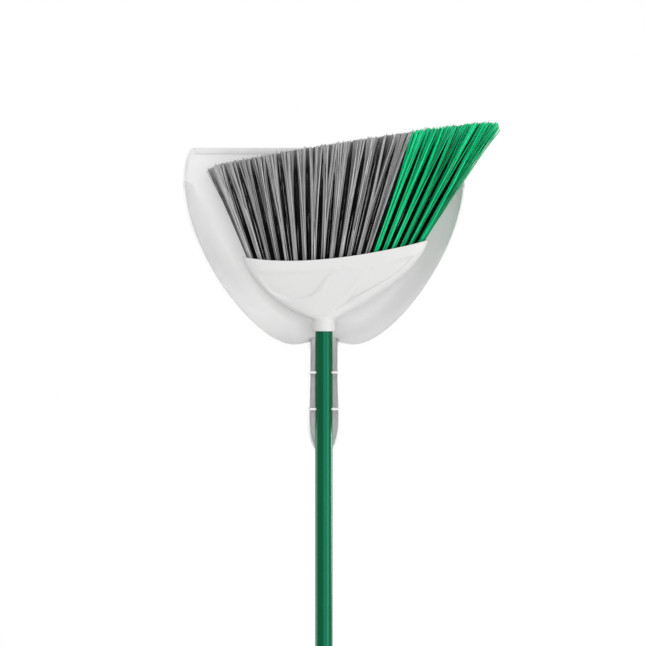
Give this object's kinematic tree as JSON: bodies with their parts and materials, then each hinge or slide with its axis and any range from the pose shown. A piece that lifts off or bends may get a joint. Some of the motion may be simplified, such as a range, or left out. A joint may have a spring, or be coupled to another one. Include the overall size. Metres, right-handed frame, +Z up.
{
  "type": "dust pan and brush set",
  "caption": "Angle broom on a long tube handle, stored bristles up, with a scoop dust pan whose channelled handle snaps on the tube.",
  "frame": {"origin": "centre of the flat end face of the handle's hang cap, on the handle's axis", "axes": "+Z up along the handle to the bristles, +X towards the long side of the slanted bristles, +Y through the pan's floor to its underside; -Y is the front"},
  "size_m": [0.3506, 0.0661, 1.3689],
  "materials": {
    "green_paint": "gloss",
    "green_plastic": "satin",
    "natural_plastic": "satin",
    "white_cap": "satin",
    "white_pan": "satin",
    "white_rubber": "matt",
    "black_plastic": "matt",
    "grey_bristle": "satin",
    "green_bristle": "satin"
  },
  "bodies": {
    "handle": {"handle_tube": "green_paint", "thread_tip": "natural_plastic", "hang_cap": "green_plastic"},
    "head": {"head_cap": "white_cap", "bristle_block": "black_plastic", "green_tufts_01": "green_bristle", "green_tufts_02": "green_bristle", "green_tufts_03": "green_bristle", "green_tufts_04": "green_bristle", "green_tufts_05": "green_bristle", "green_tufts_06": "green_bristle", "grey_tufts_01": "grey_bristle", "grey_tufts_02": "grey_bristle", "grey_tufts_03": "grey_bristle", "grey_tufts_04": "grey_bristle", "grey_tufts_05": "grey_bristle", "grey_tufts_06": "grey_bristle", "grey_tufts_07": "grey_bristle", "grey_tufts_08": "grey_bristle", "grey_tufts_09": "grey_bristle", "grey_tufts_10": "grey_bristle", "grey_tufts_11": "grey_bristle", "grey_tufts_12": "grey_bristle", "grey_tufts_13": "grey_bristle", "grey_tufts_14": "grey_bristle"},
    "dustpan": {"pan_body": "white_pan", "pan_lip": "white_rubber"}
  },
  "joints": [
    {"name": "head_unscrew", "type": "hinge", "parent": "handle", "child": "head", "pos_m": [0, 0, 1.134], "axis": [0, 0, 1], "range_deg": [0, 1440]},
    {"name": "pan_unclip", "type": "slide", "parent": "head", "child": "dustpan", "axis": [0, 1, 0], "range_m": [0, 0.16]}
  ]
}
